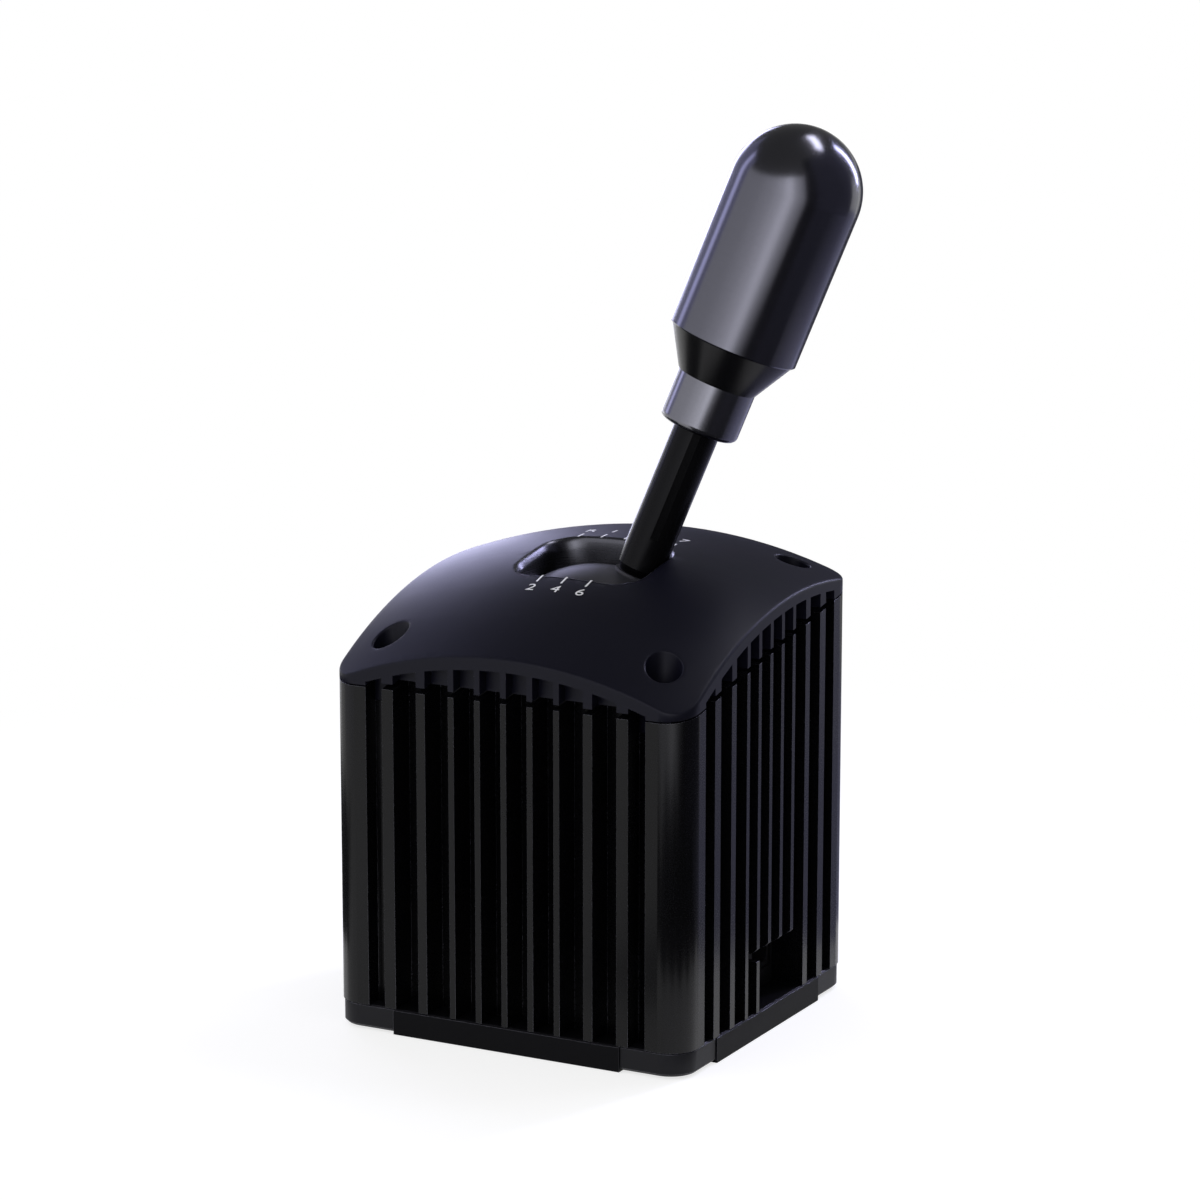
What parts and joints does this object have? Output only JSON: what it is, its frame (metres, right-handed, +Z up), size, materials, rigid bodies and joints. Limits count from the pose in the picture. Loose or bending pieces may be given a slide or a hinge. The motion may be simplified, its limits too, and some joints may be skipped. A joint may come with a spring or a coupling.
{
  "type": "sim racing gear shifter",
  "caption": "Gear shifter for driving games: ribbed box with a domed cap and gate opening, and a stick with a capsule knob on a two-axis pivot.",
  "frame": {"origin": "centre of the underside, on the surface that the shifter stands on", "axes": "+Z up, +X right along the front face, +Y to the back, where the cap is highest"},
  "size_m": [0.1343, 0.113, 0.2719],
  "materials": {
    "housing_black": "black anodised aluminium, matte, slightly lighter on the rib faces",
    "cap_black": "matte black cast aluminium, painted",
    "base_black": "black powder coat, fine grain",
    "pad_black": "black powder coat, fine grain",
    "screw_black": "black oxide steel",
    "panel_black": "matte black",
    "board": "circuit board",
    "socket_black": "moulded black",
    "frame_metal": "milled",
    "bearing_steel": "polished",
    "rubber": "matte",
    "spring_steel": "drawn wire",
    "magnet": "nickel plated",
    "steel": "turned",
    "stick_black": "satin black",
    "shield_grey": "satin grey",
    "knob_metal": "dark anodised, satin",
    "collar_black": "satin black",
    "cone_black": "gloss black",
    "brass": "turned"
  },
  "bodies": {
    "root": {"housing": "housing_black", "top_cap": "cap_black", "cap_screws": "screw_black", "base_plate": "base_black", "base_screws": "screw_black", "corner_pad_front_left": "pad_black", "corner_pad_front_right": "pad_black", "corner_pad_rear_left": "pad_black", "corner_pad_rear_right": "pad_black", "port_panel": "panel_black", "main_board": "board", "board_screws": "steel", "data_socket_front": "socket_black", "data_socket_rear": "socket_black", "frame_front": "frame_metal", "frame_rear": "frame_metal", "frame_screws": "steel", "gate_plate": "steel", "gate_screws": "steel", "select_bearing_front": "bearing_steel", "select_bearing_rear": "bearing_steel", "select_bumper_left": "rubber", "select_bumper_right": "rubber", "select_sensor_board": "board", "select_sensor_screws": "steel", "centering_spring": "spring_steel"},
    "cradle": {"cradle": "frame_metal", "select_shaft_front": "steel", "select_shaft_rear": "steel", "select_magnet": "magnet", "shift_bearing_left": "bearing_steel", "shift_bearing_right": "bearing_steel", "shift_sensor_board": "board", "shift_sensor_screws": "steel", "detent_bracket": "frame_metal", "bracket_screws": "steel", "detent_spring": "spring_steel", "detent_adjuster": "steel"},
    "stick": {"shift_axle": "steel", "shift_magnet": "magnet", "axle_spacers": "brass", "axle_clip": "spring_steel", "pivot_hub": "frame_metal", "detent_cam": "steel", "stick_shaft": "stick_black", "dust_shield": "shield_grey", "shield_clip": "spring_steel", "lower_lever": "steel", "finger_spring": "spring_steel", "knob_collar": "collar_black", "collar_screw": "screw_black", "knob_cone": "cone_black", "knob_insert": "brass", "knob_grip": "knob_metal"},
    "plunger": {"detent_plunger": "steel"},
    "finger": {"gate_finger": "steel"}
  },
  "joints": [
    {"name": "select", "type": "hinge", "parent": "root", "child": "cradle", "pos_m": [0, 0, 0.103], "axis": [0, 1, 0], "range_deg": [-40, 0], "deforming": ["centering_spring"]},
    {"name": "shift", "type": "hinge", "parent": "cradle", "child": "stick", "pos_m": [0, 0, 0.103], "axis": [0.9397, 0, -0.342], "range_deg": [0, 18]},
    {"name": "detent", "type": "slide", "parent": "cradle", "child": "plunger", "axis": [-0.342, 0, -0.9397], "range_m": [0, 0.002], "stiffness_N_per_m": 2000, "springref_m": -0.003, "deforming": ["detent_spring"]},
    {"name": "finger", "type": "slide", "parent": "stick", "child": "finger", "axis": [0.3378, 0.1564, 0.9281], "range_m": [0, 0.0025], "stiffness_N_per_m": 1500, "springref_m": -0.003, "deforming": ["finger_spring"]}
  ]
}
